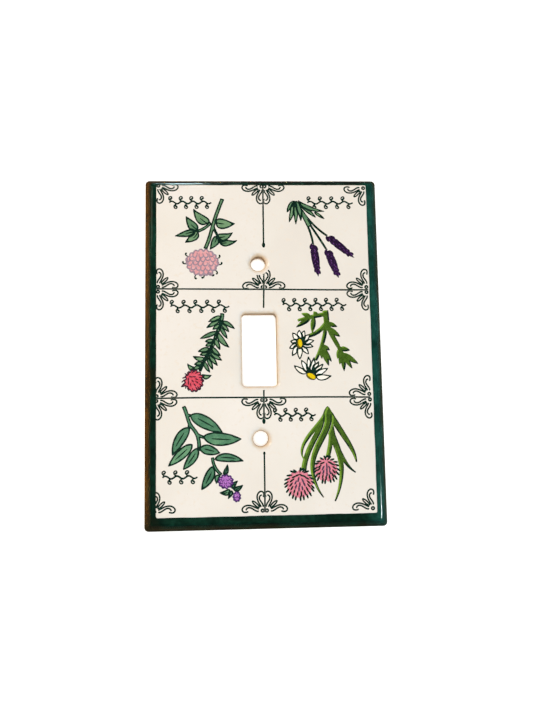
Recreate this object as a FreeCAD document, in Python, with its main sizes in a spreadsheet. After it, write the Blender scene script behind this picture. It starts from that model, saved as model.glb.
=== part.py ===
"""Ceramic cover plate for one toggle switch, glazed and painted with six herb sprigs.

Millimetres. The origin is the centre of the plate's outline on the wall plane, +Z points out of the
face, +Y points up and +X points right as the plate hangs on the wall.
"""
import FreeCAD, Part
import math
import os
import Sketcher

VECTOR = FreeCAD.Vector
doc = FreeCAD.newDocument("wall_plate_cover")

# Driving dimensions -----------------------------------------------------------------------------
SIZES = {
    "plate_width": 82.2,
    "plate_height": 121.8,
    "plate_thickness": 7.0,
    "edge_height": 2.0,
    "bevel_run": 2.8,
    "outer_corner": 1.4,
    "face_corner": 1.0,
    "face_rounding": 0.8,
    "glaze_thickness": 0.3,
    "glaze_start": 0.6,
    "panel_width": 73.4,
    "panel_height": 113.3,
    "panel_shift_x": -0.06,
    "panel_shift_y": -0.84,
    "panel_corner": 0.5,
    "recess_depth": 2.0,
    "rim_wall": 5.0,
    "recess_corner": 2.0,
    "opening_shift_x": 1.74,
    "opening_shift_y": 0.41,
    "painting_shift_x": 1.34,
    "painting_shift_y": 0.11,
    "slot_width": 12.0,
    "slot_height": 25.2,
    "slot_corner": 1.4,
    "slot_rounding": 1.3,
    "screw_spacing": 60.325,
    "screw_hole_radius": 2.6,
    "screw_hole_flare": 1.7,
    "enamel_thickness": 0.1,
    "ink_width": 0.48,
    "paint_gap": 0.12,
    "smallest_area": 0.15,
}

sheet = doc.addObject("Spreadsheet::Sheet", "sizes")
for row, (alias, value) in enumerate(SIZES.items(), start=1):
    sheet.set("A%d" % row, alias)
    sheet.set("B%d" % row, str(value))
    sheet.setAlias("B%d" % row, alias)
doc.recompute()


def size(alias):
    """The value of one cell of the sheet."""
    return float(sheet.get(alias))


# Sketches and solids shared by the plate and its glazes -----------------------------------------
def new_body(name):
    body = doc.addObject("PartDesign::Body", name)
    body.Label = name
    return body


def flat_sketch(body, name, height, shift_x="0", shift_y="0"):
    """An empty sketch parallel to the wall at a height, moved sideways by two expressions."""
    sketch = body.newObject("Sketcher::SketchObject", name)
    wall_plane = [plane for plane in body.Origin.OriginFeatures if plane.Role == "XY_Plane"][0]
    sketch.AttachmentSupport = [(wall_plane, "")]
    sketch.MapMode = "FlatFace"
    sketch.setExpression(".AttachmentOffset.Base.x", shift_x)
    sketch.setExpression(".AttachmentOffset.Base.y", shift_y)
    sketch.setExpression(".AttachmentOffset.Base.z", height)
    return sketch


def draw_rounded_rectangle(sketch, width, height, radius):
    """Rounded rectangle about the sketch's own origin; the three sizes are sheet expressions."""
    half_x, half_y, corner = 20.0, 30.0, 1.0
    inner_x, inner_y = half_x - corner, half_y - corner
    quarter = math.pi / 2
    lines = [
        ((-inner_x, -half_y), (inner_x, -half_y)),
        ((half_x, -inner_y), (half_x, inner_y)),
        ((inner_x, half_y), (-inner_x, half_y)),
        ((-half_x, inner_y), (-half_x, -inner_y)),
    ]
    centres = [(inner_x, -inner_y), (inner_x, inner_y), (-inner_x, inner_y), (-inner_x, -inner_y)]
    for start, end in lines:
        sketch.addGeometry(Part.LineSegment(VECTOR(*start, 0), VECTOR(*end, 0)), False)
    for number, centre in enumerate(centres):
        circle = Part.Circle(VECTOR(*centre, 0), VECTOR(0, 0, 1), corner)
        start = (number - 1) * quarter
        sketch.addGeometry(Part.ArcOfCircle(circle, start, start + quarter), False)
    for number in range(4):
        arc = 4 + number
        following = (number + 1) % 4
        sketch.addConstraint(Sketcher.Constraint("Tangent", number, 2, arc, 1))
        sketch.addConstraint(Sketcher.Constraint("Tangent", arc, 2, following, 1))
    sketch.addConstraint(Sketcher.Constraint("Horizontal", 0))
    sketch.addConstraint(Sketcher.Constraint("Vertical", 1))
    sketch.addConstraint(Sketcher.Constraint("Horizontal", 2))
    sketch.addConstraint(Sketcher.Constraint("Vertical", 3))
    sketch.addConstraint(Sketcher.Constraint("Symmetric", 4, 3, 6, 3, -1, 1))
    for arc in (5, 6, 7):
        sketch.addConstraint(Sketcher.Constraint("Equal", 4, arc))
    for kind, geometry, value, expression in (
        ("DistanceX", (3, 1, 1, 1), 2 * half_x, width),
        ("DistanceY", (0, 1, 2, 1), 2 * half_y, height),
        ("Radius", (4,), corner, radius),
    ):
        index = sketch.addConstraint(Sketcher.Constraint(kind, *geometry, value))
        sketch.setExpression("Constraints[%d]" % index, expression)


def rectangle_sketch(body, name, height, width, length, radius, shift_x="0", shift_y="0"):
    sketch = flat_sketch(body, name, height, shift_x, shift_y)
    draw_rounded_rectangle(sketch, width, length, radius)
    return sketch


def pad(body, name, sketch, length):
    feature = body.newObject("PartDesign::Pad", name)
    feature.Profile = sketch
    feature.setExpression("Length", length)
    doc.recompute()
    return feature


def pocket(body, name, sketch, length=None):
    """Cut upward from the sketch to a depth, or through everything in both directions."""
    before = body.Shape.Volume
    feature = body.newObject("PartDesign::Pocket", name)
    feature.Profile = sketch
    if length is None:
        feature.Type = "ThroughAll"
        feature.Midplane = True
    else:
        feature.Reversed = True
        feature.setExpression("Length", length)
    doc.recompute()
    if body.Shape.Volume > before - 1.0:
        raise RuntimeError(name + " cuts nothing")
    return feature


def edges_at(shape, height, reach_x, reach_y, centre=(0.0, 0.0)):
    """Names of the edges that lie at one height inside a box about a centre."""
    names = []
    for number, edge in enumerate(shape.Edges, start=1):
        box = edge.BoundBox
        level = abs(box.ZMin - height) < 0.001 and abs(box.ZMax - height) < 0.001
        inside_x = max(abs(box.XMin - centre[0]), abs(box.XMax - centre[0])) <= reach_x
        inside_y = max(abs(box.YMin - centre[1]), abs(box.YMax - centre[1])) <= reach_y
        if level and inside_x and inside_y:
            names.append("Edge%d" % number)
    return names


def round_edges(body, name, base, names, radius):
    feature = body.newObject("PartDesign::Fillet", name)
    feature.Base = (base, names)
    feature.setExpression("Radius", radius)
    doc.recompute()
    return feature


def build_blank(body, margin, bottom):
    """Solid plate, bevelled from its outline up to its face, smaller all round by margin."""
    outline_width = "sizes.plate_width - 2 * (%s)" % margin
    outline_height = "sizes.plate_height - 2 * (%s)" % margin
    face_width = "sizes.plate_width - 2 * sizes.bevel_run - 2 * (%s)" % margin
    face_height = "sizes.plate_height - 2 * sizes.bevel_run - 2 * (%s)" % margin
    top = "sizes.plate_thickness - (%s)" % margin
    name = body.Name
    foot = rectangle_sketch(body, name + "_foot_outline", bottom, outline_width, outline_height,
                            "sizes.outer_corner")
    pad(body, name + "_foot", foot, "sizes.edge_height - (%s)" % bottom)
    lower = rectangle_sketch(body, name + "_bevel_foot", "sizes.edge_height", outline_width,
                             outline_height, "sizes.outer_corner")
    upper = rectangle_sketch(body, name + "_face_outline", top, face_width, face_height,
                             "sizes.face_corner")
    bevel = body.newObject("PartDesign::AdditiveLoft", name + "_bevel")
    bevel.Profile = lower
    bevel.Sections = [upper]
    bevel.Ruled = True
    doc.recompute()
    face_edges = edges_at(body.Shape, size("plate_thickness") - float_of(margin), 1000, 1000)
    return round_edges(body, name + "_face_rounding", bevel, face_edges, "sizes.face_rounding")


def float_of(expression):
    """The number behind a margin: either a plain number or one cell of the sheet."""
    if expression.startswith("sizes."):
        return size(expression.split(".")[1])
    return float(expression)


def ring_sketch(body, name, height, radius):
    """Two circles, one for each screw hole, placed by the screw spacing."""
    sketch = flat_sketch(body, name, height, "sizes.opening_shift_x", "sizes.opening_shift_y")
    for side in (1, -1):
        circle = sketch.addGeometry(Part.Circle(VECTOR(0, side * 30, 0), VECTOR(0, 0, 1), 2), False)
        sketch.addConstraint(Sketcher.Constraint("PointOnObject", circle, 3, -2))
        first, second = ((-1, 1), (circle, 3)) if side > 0 else ((circle, 3), (-1, 1))
        half = sketch.addConstraint(Sketcher.Constraint("DistanceY", *first, *second, 30.0))
        sketch.setExpression("Constraints[%d]" % half, "sizes.screw_spacing / 2")
        bound = sketch.addConstraint(Sketcher.Constraint("Radius", circle, 2.0))
        sketch.setExpression("Constraints[%d]" % bound, radius)
    return sketch


OPENINGS = (size("opening_shift_x"), size("opening_shift_y"))
PAINTING = (size("painting_shift_x"), size("painting_shift_y"))
SCREWS = [(OPENINGS[0], OPENINGS[1] + side * size("screw_spacing") / 2) for side in (1, -1)]


# The clay plate ---------------------------------------------------------------------------------
def make_clay_body():
    body = new_body("clay_body")
    margin = "sizes.glaze_thickness"
    top = size("plate_thickness") - size("glaze_thickness")
    build_blank(body, margin, "0")
    recess = rectangle_sketch(body, "recess_outline", "0", "sizes.plate_width - 2 * sizes.rim_wall",
                              "sizes.plate_height - 2 * sizes.rim_wall", "sizes.recess_corner")
    pocket(body, "recess", recess, "sizes.recess_depth")
    slot = rectangle_sketch(body, "slot_outline", "0", "sizes.slot_width", "sizes.slot_height",
                            "sizes.slot_corner", "sizes.opening_shift_x", "sizes.opening_shift_y")
    pocket(body, "toggle_slot", slot)
    holes = ring_sketch(body, "screw_hole_outline", "0", "sizes.screw_hole_radius")
    last = pocket(body, "screw_holes", holes)
    mouth = edges_at(body.Shape, top, size("slot_width"), size("slot_height") * 0.6, OPENINGS)
    last = round_edges(body, "slot_rounding_edge", last, mouth, "sizes.slot_rounding")
    rims = []
    for screw in SCREWS:
        rims += edges_at(body.Shape, top, 4.0, 4.0, screw)
    round_edges(body, "screw_hole_flares", last, rims, "sizes.screw_hole_flare")
    return body


# The two glazes ---------------------------------------------------------------------------------
def make_ivory_glaze():
    """Cream glaze on the flat face, stopping where the openings begin to roll inward."""
    body = new_body("ivory_face_glaze")
    under = "sizes.plate_thickness - sizes.glaze_thickness"
    panel = rectangle_sketch(body, "panel_outline", under, "sizes.panel_width",
                             "sizes.panel_height", "sizes.panel_corner",
                             "sizes.panel_shift_x", "sizes.panel_shift_y")
    pad(body, "panel", panel, "sizes.glaze_thickness")
    slot = rectangle_sketch(body, "mouth_outline", under,
                            "sizes.slot_width + 2 * sizes.slot_rounding",
                            "sizes.slot_height + 2 * sizes.slot_rounding",
                            "sizes.slot_corner + sizes.slot_rounding",
                            "sizes.opening_shift_x", "sizes.opening_shift_y")
    pocket(body, "mouth_opening", slot)
    rings = ring_sketch(body, "flare_outline", under,
                        "sizes.screw_hole_radius + sizes.screw_hole_flare")
    pocket(body, "flare_openings", rings)
    return body


def make_green_glaze():
    """Green glaze skin over the edge, the bevel and the border of the face."""
    skin = new_body("glaze_envelope")
    build_blank(skin, "0", "sizes.glaze_start")
    window = rectangle_sketch(skin, "window_outline", "0", "sizes.panel_width",
                              "sizes.panel_height", "sizes.panel_corner",
                              "sizes.panel_shift_x", "sizes.panel_shift_y")
    pocket(skin, "window", window)
    core = new_body("glaze_core")
    build_blank(core, "sizes.glaze_thickness", "0")
    glaze = doc.addObject("Part::Cut", "green_rim_glaze")
    glaze.Base = skin
    glaze.Tool = core
    glaze.Label = "green_rim_glaze"
    doc.recompute()
    return glaze


# Painted enamel ---------------------------------------------------------------------------------
# The painting is laid out from an origin near the midpoint between the screw holes. Every colour area is a flat
# face first; a node is its faces raised by the enamel's thickness. Where two areas of one plant
# meet, the one in front keeps its shape and the one behind stops a paint gap short of it.


def spline(points):
    curve = Part.BSplineCurve()
    curve.interpolate([VECTOR(x, y, 0) for x, y in points])
    return curve.toShape()


def straight(start, end):
    return Part.LineSegment(VECTOR(*start, 0), VECTOR(*end, 0)).toShape()


def filled(edges):
    return Part.Face(Part.Wire(edges))


def stroke(points, width, taper=0.0, swell=0.0, grow=0.0):
    """Brush stroke along a few points; taper 1 ends it in a point, swell widens its middle."""
    last = len(points) - 1
    left, right = [], []
    for index, (x, y) in enumerate(points):
        before, after = points[max(index - 1, 0)], points[min(index + 1, last)]
        run = math.hypot(after[0] - before[0], after[1] - before[1])
        across_x, across_y = (before[1] - after[1]) / run, (after[0] - before[0]) / run
        share = index / last
        half = width / 2 * (1 - taper * share ** 2 + swell * math.sin(math.pi * share))
        half = max(half, 0.02) + grow
        left.append((x + across_x * half, y + across_y * half))
        right.append((x - across_x * half, y - across_y * half))
    ends = [straight(right[-1], left[-1]), straight(left[0], right[0])]
    return filled([spline(right), ends[0], spline(left[::-1]), ends[1]])


def leaf(foot, tip, width, bend=0.0, fore=0.85, aft=0.35, grow=0.0):
    """Leaf between two curves that meet at its foot and tip, bowed sideways by bend lengths."""
    along_x, along_y = tip[0] - foot[0], tip[1] - foot[1]
    length = math.hypot(along_x, along_y)
    across_x, across_y = -along_y / length, along_x / length
    reach_x, reach_y = along_x * grow / length, along_y * grow / length
    foot, tip = (foot[0] - reach_x, foot[1] - reach_y), (tip[0] + reach_x, tip[1] + reach_y)
    width += 2 * grow
    sides = []
    for side in (-1, 1):
        poles = [foot]
        for share, offset in ((0.12, fore), (0.66, aft)):
            aside = side * offset * width + 1.33 * bend * length
            poles.append((foot[0] + along_x * share + across_x * aside,
                          foot[1] + along_y * share + across_y * aside))
        poles.append(tip)
        curve = Part.BezierCurve()
        curve.setPoles([VECTOR(x, y, 0) for x, y in poles[::-side]])
        sides.append(curve.toShape())
    return filled(sides)


def needle(foot, tip, width, bend=0.0, grow=0.0):
    return leaf(foot, tip, width, bend, 0.72, 0.62, grow)


def oval(x, y, reach, breadth, turn=0.0, grow=0.0):
    """Ellipse of two half-sizes, its first one turned by degrees from +X."""
    reach, breadth = reach + grow, breadth + grow
    major, minor = max(reach, breadth), min(reach, breadth)
    angle = turn if reach >= breadth else turn + 90
    shape = Part.Ellipse(VECTOR(0, 0, 0), major, minor).toShape()
    shape.rotate(VECTOR(0, 0, 0), VECTOR(0, 0, 1), angle)
    shape.translate(VECTOR(x, y, 0))
    return filled([shape])


def joined(faces):
    """One compound of faces from overlapping ones."""
    whole = faces[0].multiFuse(faces[1:]).removeSplitter() if len(faces) > 1 else faces[0]
    return Part.makeCompound(whole.Faces)


def flower_head(x, y, reach, breadth, lobe, count, grow=0.0):
    """Oval with a ring of lobes standing out of its edge."""
    parts = [oval(x, y, reach - lobe * 0.6, breadth - lobe * 0.6, 0, grow)]
    for number in range(count):
        angle = 2 * math.pi * number / count
        parts.append(oval(x + (reach - lobe) * math.cos(angle), y + (breadth - lobe) * math.sin(angle),
                          lobe, lobe * 0.72, math.degrees(angle), grow))
    return joined(parts)


def paint(areas):
    """Share out painted areas among nodes, the front one first.

    An area is (node, parts) and a part is (maker, values); the parts of one area run together.
    """
    gap = size("paint_gap")
    shares, fronts = {}, []
    for node, parts in areas:
        area = joined([maker(*values) for maker, values in parts])
        covers = [front for front in fronts if front.BoundBox.intersect(area.BoundBox)]
        visible = area.cut(covers) if covers else area
        shares.setdefault(node, [])
        shares[node] += [face for face in visible.Faces if face.Area > size("smallest_area")]
        fronts += [maker(*values, grow=gap) for maker, values in parts]
    for node, faces in shares.items():
        raise_enamel(node, faces)


def raise_enamel(name, faces):
    """Node of enamel as thick as the sheet says, standing on the glazed face."""
    outline = doc.addObject("Part::Feature", name + "_outline")
    outline.Shape = Part.makeCompound(faces)
    raised = doc.addObject("Part::Extrusion", name)
    raised.Label = name
    raised.Base = outline
    raised.DirMode = "Custom"
    raised.Dir = VECTOR(0, 0, 1)
    raised.Solid = True
    raised.setExpression("LengthFwd", "sizes.enamel_thickness")
    raised.setExpression("Placement.Base.x", "sizes.painting_shift_x")
    raised.setExpression("Placement.Base.y", "sizes.painting_shift_y")
    raised.setExpression("Placement.Base.z", "sizes.plate_thickness")


# Ink: grid lines, scrolls and flourishes --------------------------------------------------------
def panel_window():
    """The ivory panel as a face in the painting's own coordinates."""
    width, height = size("panel_width"), size("panel_height")
    corner = VECTOR(size("panel_shift_x") - PAINTING[0] - width / 2,
                    size("panel_shift_y") - PAINTING[1] - height / 2, 0)
    return Part.makePlane(width, height, corner)


def keep_out():
    """Discs around the flared screw holes and the mouth of the slot, where no line is painted."""
    radius = size("screw_hole_radius") + size("screw_hole_flare") + size("paint_gap")
    x, y = OPENINGS[0] - PAINTING[0], OPENINGS[1] - PAINTING[1]
    discs = [oval(x, y + side * size("screw_spacing") / 2, radius, radius) for side in (1, -1)]
    width = size("slot_width") + 2 * size("slot_rounding")
    height = size("slot_height") + 2 * size("slot_rounding")
    return joined(discs + [Part.makePlane(width, height, VECTOR(x - width / 2, y - height / 2, 0))])


def grid_lines(width):
    """The lines between the fields, with a drop where an upright one stops at an opening."""
    return [
        oval(-0.7, 24.6, 0.95, width * 1.1, 90),
        oval(-0.65, 35.3, 0.6, width * 0.8, 90),
        oval(-1.6, -36.1, 0.95, width * 1.1, 90),
        oval(-0.85, 13.9, 0.6, width * 0.8, 90),
        stroke([(-37.0, 17.1), (-18, 16.75), (2, 16.6), (20, 16.4), (36, 16.45)], width),
        stroke([(-37.6, -20.0), (-18, -20.2), (2, -20.5), (20, -20.7), (36, -20.9)], width),
        stroke([(-0.55, 54.6), (-0.62, 45), (-0.65, 35.2)], width),
        stroke([(-0.7, 24.8), (-0.8, 19), (-0.85, 13.8)], width),
        stroke([(-1.25, -14.0), (-1.4, -20), (-1.5, -25.4)], width),
        stroke([(-1.6, -35.8), (-1.65, -46), (-1.7, -57.4)], width),
    ]


def share_out(faces):
    """Parts of overlapping faces, so that each spot belongs to the first face that covers it."""
    kept = []
    for number, face in enumerate(faces):
        covers = [front for front in faces[:number] if front.BoundBox.intersect(face.BoundBox)]
        visible = face.cut(covers) if covers else face
        kept += [part for part in visible.Faces if part.Area > size("smallest_area") / 10]
    return kept


def paint_grid():
    """The grid lines, trimmed by the ivory panel and the screw holes."""
    raise_enamel("ink_grid_lines", share_out([line.common(panel_window()).cut(keep_out())
                                              for line in grid_lines(size("ink_width"))]))


# Each place is a corner (x, y) and the two ways its arms point.
SCROLLS = [
    (-36.6, 54.1, 1, -1), (35.8, 53.6, -1, -1), (-1.2, 54.0, -1, -1), (0.2, 54.0, 1, -1),
    (-36.9, 17.9, 1, 1), (-36.7, 16.0, 1, -1), (35.2, 17.3, -1, 1), (35.1, 15.7, -1, -1),
    (-1.4, 17.5, -1, 1), (-0.2, 17.5, 1, 1),
    (-37.0, -19.2, 1, 1), (-37.0, -21.0, 1, -1), (34.7, -19.9, -1, 1), (34.7, -21.6, -1, -1),
    (-1.9, -21.2, -1, -1), (-1.0, -21.2, 1, -1),
    (-37.1, -56.5, 1, 1), (-2.3, -57.1, -1, 1), (-1.2, -57.1, 1, 1), (34.6, -57.3, -1, 1),
]


def scroll(x, y, way_x, way_y):
    """Scroll ornament for one corner: a ring, a loop on the diagonal and two hooked arms."""
    ink = size("ink_width") * 0.9
    inner = [(1.3, -0.2), (2.5, 0.1), (3.5, 0.75), (4.4, 1.05), (5.2, 0.8), (5.5, 0.2)]
    outer = [(1.3, 0.5), (2.5, 1.1), (3.8, 1.65), (5.2, 1.75), (6.4, 1.2), (6.8, 0.4),
             (6.4, -0.3), (5.6, -0.45), (4.8, -0.25)]
    strokes = [outer, inner] + [[(b, a * 0.92) for a, b in line] for line in (inner, outer)]
    areas = [stroke([(x + way_x * a, y + way_y * b) for a, b in line], ink) for line in strokes]
    ring = 0.68
    areas.append(oval(x, y, ring, ring).cut(oval(x, y, ring - ink, ring - ink)))
    middle_x, middle_y, turn = x + way_x * 2.25, y + way_y * 2.1, 43 * way_x * way_y
    loop = oval(middle_x, middle_y, 1.7, 0.62, turn)
    areas.append(loop.cut(oval(middle_x, middle_y, 1.7 - ink, 0.62 - ink, turn)))
    return joined(areas)


def paint_scrolls():
    """All scrolls, trimmed by the ivory panel, the screw holes and the grid lines."""
    trims = grid_lines(size("ink_width") + 2 * size("paint_gap")) + [keep_out()]
    trimmed = [scroll(*place).common(panel_window()).cut(trims) for place in SCROLLS]
    raise_enamel("ink_corner_scrolls", share_out(trimmed))


# Each flourish is its middle (x, y) and its length.
FLOURISHES = [(-11.2, 22.6, 14), (27.4, 42.6, 11.5), (-18.8, -15.0, 22), (20.5, -14.7, 20),
              (-25.2, -51.2, 16), (23.6, -51.3, 14.5)]


CURL = [(0.0, 0.0), (0.85, 0.35), (1.35, 1.0), (1.1, 1.65), (0.5, 1.7), (0.3, 1.2), (0.65, 0.95)]


def flourish(x, y, length):
    """Running tendril: a smooth wave with a curl rolling off it by turns above and below."""
    ink = size("ink_width")
    waves = round(length / 4.0)
    steps = waves * 8
    height = 0.45
    line = [(x + length * (step / steps - 0.5), y + height * math.sin(math.pi * step / 4))
            for step in range(steps + 1)]
    areas = [stroke(line, ink, 0.0, 0.2)]
    for number in range(waves * 2):
        side = 1 if number % 2 == 0 else -1
        foot_x = x + length * ((number + 0.35) / (waves * 2) - 0.5)
        foot_y = y + side * height * 0.8
        curl = [(foot_x + across, foot_y + side * rise) for across, rise in CURL]
        areas.append(stroke(curl, ink * 0.85))
        end_x, end_y = curl[-1]
        areas.append(oval(end_x, end_y, ink * 0.8, ink * 0.7))
    return joined(areas)


# The six herbs: (foot, tip, width, bend) for a leaf or needle ------------------------------------
THYME_LEAVES = [
    ((14.2, -39.6), (9.1, -40.5), 2.7, -0.2), ((13.9, -38.9), (7.6, -37.7), 2.7, -0.24),
    ((14.3, -39.2), (16.9, -34.6), 2.8, 0.05), ((14.9, -44.6), (8.3, -43.7), 3.8, -0.1),
    ((22.3, -41.1), (28.8, -39.4), 2.4, 0.03), ((21.1, -40.9), (25.4, -37.1), 3.0, 0.08),
    ((21.2, -41.4), (25.1, -46.3), 3.2, 0.06), ((17.0, -44.3), (22.5, -48.9), 3.5, 0.15),
]
THYME_STEMS = [
    ([(12.5, -52.5), (13.8, -49.2), (15.2, -45.2), (16.6, -40.2), (18.5, -34.9)], 1.15),
    ([(15.7, -42.8), (14.9, -40.7), (14.1, -39.3)], 0.7),
    ([(16.6, -44.0), (18.8, -42.1), (21.3, -41.0)], 0.9),
]


def thyme():
    areas = [("thyme_leaves", [(leaf, values)]) for values in THYME_LEAVES]
    areas.append(("thyme_blossom", [(flower_head, (19.6, -30.0, 5.6, 4.8, 1.35, 17))]))
    areas.append(("thyme_stem", [(stroke, values) for values in THYME_STEMS]))
    paint(areas)


BASIL_LEAVES = [
    ((23.3, 31.9), (31.2, 38.9), 3.7, 0.0), ((24.2, 26.3), (29.9, 35.4), 4.1, -0.06),
    ((21.5, 33.2), (26.3, 40.1), 3.4, 0.04), ((20.8, 33.2), (14.2, 34.9), 3.7, 0.02),
    ((19.6, 29.4), (7.0, 30.4), 5.0, -0.04), ((23.9, 22.2), (13.2, 28.2), 4.8, 0.02),
    ((15.9, 37.0), (6.4, 37.7), 3.2, 0.09), ((16.6, 39.3), (20.3, 46.8), 3.6, 0.06),
]
BASIL_SEPALS = [
    ((12.9, 42.0), (11.7, 38.8), 1.6, -0.1), ((14.5, 42.1), (15.4, 44.9), 1.8, -0.1),
    ((10.3, 47.3), (11.6, 49.9), 1.2, 0.05), ((10.9, 47.1), (14.3, 47.9), 1.9, 0.16),
    ((9.8, 46.9), (6.7, 45.6), 1.7, -0.12), ((10.2, 46.6), (8.4, 44.2), 1.5, 0.1),
]
BASIL_STEMS = [
    ([(26.1, 19.3), (25.0, 22.3), (24.0, 25.2), (21.9, 28.3), (21.1, 31.0), (21.2, 34.0)], 1.1),
    ([(21.6, 28.6), (20.6, 29.2), (18.6, 29.7)], 0.9),
    ([(16.6, 36.4), (16.2, 38.6), (15.4, 40.2), (13.8, 42.0)], 0.9),
    ([(25.0, 22.3), (24.4, 22.2), (23.6, 22.5)], 0.8),
    ([(24.2, 25.0), (24.3, 25.8), (24.4, 26.8)], 0.8),
]


def basil():
    areas = [("basil_blossoms", [(flower_head, (12.3, 44.3, 2.6, 2.4, 0.8, 11))])]
    areas.append(("basil_blossoms", [(flower_head, (8.7, 49.3, 1.4, 1.75, 0.55, 9))]))
    areas += [("basil_leaves", [(leaf, values + (0.6, 0.55))]) for values in BASIL_LEAVES]
    areas += [("basil_leaves", [(leaf, values)]) for values in BASIL_SEPALS]
    areas.append(("basil_stem", [(stroke, values) for values in BASIL_STEMS]))
    paint(areas)


CHIVES_BLADES = [
    ([(-22.4, 22.6), (-21.9, 26.8), (-19.6, 31.5), (-17.5, 36), (-16.7, 40.5), (-17.6, 45.5),
      (-20.2, 50.2)], 2.3, 0.85),
    ([(-21.5, 22.9), (-18.9, 28.4), (-15.9, 34.0), (-13.7, 42.6)], 1.9, 0.1),
    ([(-21.3, 23.2), (-18.0, 27.2), (-15.0, 30.8), (-13.3, 34.4), (-13.7, 37.3)], 1.6, 0.8),
    ([(-22.8, 22.6), (-23.2, 28.5), (-25.4, 34.5), (-26.4, 39.5), (-26.0, 45.5), (-24.0, 51.5)],
     2.3, 0.8),
    ([(-23.0, 24.0), (-23.2, 30.0), (-21.4, 38.4)], 1.5, 0),
    ([(-22.9, 22.4), (-25.0, 25.8), (-28.6, 31.6), (-30.7, 35.5), (-31.6, 38.8)], 2.1, 0.8),
    ([(-23.4, 26.5), (-24.5, 32.0), (-26.6, 36.6), (-28.6, 39.8), (-31.2, 42.2)], 1.8, 0.8),
]
CHIVES_FOOT = ((-22.3, 20.1), (-22.6, 29.0), 3.6, 0.0, 0.3, 0.8)


def chives():
    areas = [("chives_blades", [(stroke, CHIVES_BLADES[0])])]
    areas.append(("chives_blossoms", [(flower_head, (-12.3, 45.7, 4.5, 4.7, 0.9, 20))]))
    areas.append(("chives_blossoms", [(flower_head, (-21.3, 41.1, 4.0, 4.0, 0.85, 18))]))
    blades = [(stroke, values) for values in CHIVES_BLADES[1:]]
    areas.append(("chives_blades", blades + [(leaf, CHIVES_FOOT)]))
    paint(areas)


CHAMOMILE_STEMS = [
    ([(-22.5, -12.9), (-22.8, -9.2), (-23.0, -6.4)], 2.0, 0.1),
    ([(-22.9, -8.5), (-24.6, -4.2), (-26.6, -0.4), (-28.6, 3.6)], 1.6, 0.3),
    ([(-22.4, -8.0), (-21.8, -3.6), (-20.4, 0.6), (-18.7, 4.3)], 1.4, 0.3),
    ([(-22.4, -8.2), (-20.6, -6.2), (-18.0, -4.6), (-15.6, -3.8)], 1.6, 0.3),
    ([(-22.3, -11.6), (-19.6, -11.1), (-16.0, -10.3), (-12.9, -9.5)], 1.5, 0.4),
]
CHAMOMILE_LOBES = [
    ((-28.0, 2.4), (-28.4, 8.2), 1.7), ((-28.2, 2.6), (-31.2, 7.3), 1.6),
    ((-28.0, 2.0), (-33.3, 5.7), 1.9), ((-27.0, 0.2), (-30.6, 1.0), 1.7),
    ((-27.6, 1.8), (-26.9, 5.9), 1.5), ((-26.9, 0.4), (-26.2, 4.0), 1.4),
    ((-20.9, -0.4), (-23.2, 6.3), 1.9), ((-21.0, -0.2), (-24.2, 4.9), 1.6),
    ((-21.0, -0.8), (-23.7, 0.9), 1.6), ((-20.4, 0.0), (-20.9, 3.9), 1.3),
    ((-22.9, -7.0), (-27.4, -3.7), 1.9), ((-22.8, -8.6), (-26.5, -7.2), 1.6),
    ((-18.4, -10.8), (-17.8, -5.0), 1.8), ((-17.6, -10.6), (-12.2, -7.1), 1.7),
    ((-17.4, -10.8), (-14.2, -11.9), 1.6), ((-19.6, -10.9), (-18.4, -12.6), 1.6),
]
DAISY_SIDE_PETALS = [
    ((-18.5, 9.8), (-23.9, 9.7), 1.9, -0.08), ((-18.3, 9.3), (-22.8, 7.1), 1.7, 0.0),
    ((-18.0, 8.9), (-21.2, 5.6), 1.6, 0.0), ((-17.7, 8.7), (-19.7, 4.7), 1.6, 0.0),
    ((-17.3, 8.7), (-18.2, 3.3), 1.7, 0.0), ((-16.8, 8.5), (-16.2, 3.0), 1.7, 0.0),
    ((-16.2, 8.4), (-13.8, 4.2), 1.8, 0.0), ((-15.7, 8.5), (-11.3, 6.0), 1.8, 0.08),
]
DAISY_FRONT_TIPS = [(-13.3, 3.9), (-10.7, 2.7), (-9.8, 0.1), (-10.2, -2.4), (-11.0, -5.3),
                    (-13.3, -6.2), (-15.1, -6.0), (-17.0, -4.6), (-18.3, -2.5), (-18.0, -0.4),
                    (-16.3, 2.1)]


def chamomile():
    front, petal_width = (-13.4, -1.6), 1.75
    areas = [("chamomile_centres", [(oval, (-17.0, 9.7, 1.75, 1.1, -28))])]
    areas.append(("chamomile_centres", [(oval, (*front, 1.65, 1.0, 90))]))
    for tip in DAISY_FRONT_TIPS:
        foot = (front[0] + 0.2 * (tip[0] - front[0]), front[1] + 0.2 * (tip[1] - front[1]))
        areas.append(("chamomile_petals", [(needle, (foot, tip, petal_width))]))
    areas += [("chamomile_petals", [(needle, values)]) for values in DAISY_SIDE_PETALS]
    greens = [(stroke, values) for values in CHAMOMILE_STEMS]
    greens += [(needle, values) for values in CHAMOMILE_LOBES]
    areas.append(("chamomile_leaves", greens))
    paint(areas)


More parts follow.
